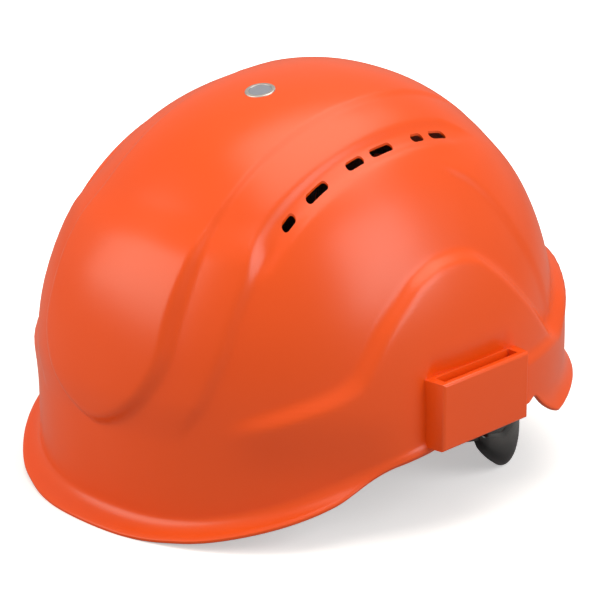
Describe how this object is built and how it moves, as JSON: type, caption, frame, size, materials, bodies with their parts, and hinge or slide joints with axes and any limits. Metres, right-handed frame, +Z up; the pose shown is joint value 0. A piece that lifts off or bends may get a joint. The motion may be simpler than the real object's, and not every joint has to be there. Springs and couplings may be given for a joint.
{
  "type": "climbing helmet",
  "caption": "Hard-shell climbing and work helmet with brim, crown vents, side accessory slots, webbing cradle, padded headband and a size wheel on a tilting nape cradle.",
  "frame": {"origin": "centre of the bounding box's base, on the surface the helmet stands on", "axes": "+X towards the wearer's left, +Y towards the back of the head, +Z up; the brim points along -Y"},
  "size_m": [0.236, 0.2696, 0.1841],
  "materials": {
    "shell_plastic": "gloss",
    "bright_ring": "satin",
    "indicator_plastic": "satin",
    "pad_fabric": "padded knit",
    "webbing": "woven",
    "band_plastic": "moulded",
    "nape_plastic": "gloss",
    "knob_plastic": "moulded",
    "gear_plastic": "moulded",
    "spring_steel": "bare",
    "screw_steel": "zinc plated",
    "pin_plastic": "moulded",
    "lug_plastic": "moulded"
  },
  "bodies": {
    "shell": {"shell": "shell_plastic", "accessory_slot_left": "shell_plastic", "accessory_slot_right": "shell_plastic", "indicator_bezel": "bright_ring", "indicator_disc": "indicator_plastic", "crown_pad": "pad_fabric", "lug_front_left": "lug_plastic", "lug_front_right": "lug_plastic", "lug_side_left": "lug_plastic", "lug_side_right": "lug_plastic", "lug_rear_left": "lug_plastic", "lug_rear_right": "lug_plastic", "webbing_left_front": "webbing", "webbing_right_front": "webbing", "webbing_side": "webbing"},
    "headband": {"headband": "band_plastic", "sweatband": "pad_fabric", "hanger_front_left": "band_plastic", "hanger_front_right": "band_plastic", "hanger_side_left": "band_plastic", "hanger_side_right": "band_plastic"},
    "nape_pivots": {"pivot_pin_left": "pin_plastic", "pivot_pin_right": "pin_plastic"},
    "nape": {"nape_cradle": "nape_plastic", "nape_pad": "pad_fabric", "ratchet_cover": "nape_plastic", "cover_screws": "screw_steel", "detent_spring": "spring_steel"},
    "knob": {"size_knob": "knob_plastic", "pinion": "gear_plastic", "knob_screw": "screw_steel"},
    "arm_left": {"nape_arm_left": "nape_plastic"},
    "arm_right": {"nape_arm_right": "nape_plastic"}
  },
  "joints": [
    {"name": "headband_height", "type": "slide", "parent": "shell", "child": "headband", "axis": [0, -0.0494, 0.9988], "range_m": [-0.012, 0]},
    {"name": "nape_tilt", "type": "hinge", "parent": "headband", "child": "nape_pivots", "pos_m": [0, 0.02112, 0.03186], "axis": [1, 0, 0], "range_deg": [-12, 3]},
    {"name": "size_slide", "type": "slide", "parent": "nape_pivots", "child": "nape", "axis": [0, -0.9988, -0.0494], "range_m": [-0.025, 0.025]},
    {"name": "knob_spin", "type": "hinge", "parent": "nape", "child": "knob", "pos_m": [0, 0.11005, 0.01523], "axis": [0, 0.9988, 0.0494], "range_deg": [-287, 287]},
    {"name": "arm_left_feed", "type": "hinge", "parent": "nape", "child": "arm_left", "pos_m": [0, 0.02216, 0.01088], "axis": [0, -0.0494, 0.9988], "range_deg": [-16.4, 16.4]},
    {"name": "arm_right_feed", "type": "hinge", "parent": "nape", "child": "arm_right", "pos_m": [0, 0.02216, 0.01088], "axis": [0, -0.0494, 0.9988], "range_deg": [-16.4, 16.4]}
  ],
  "couplings": [
    {"joint": "knob_spin", "follows": "size_slide", "rad_per_m": -200},
    {"joint": "arm_left_feed", "follows": "size_slide", "rad_per_m": 11.364},
    {"joint": "arm_right_feed", "follows": "size_slide", "rad_per_m": -11.364}
  ]
}
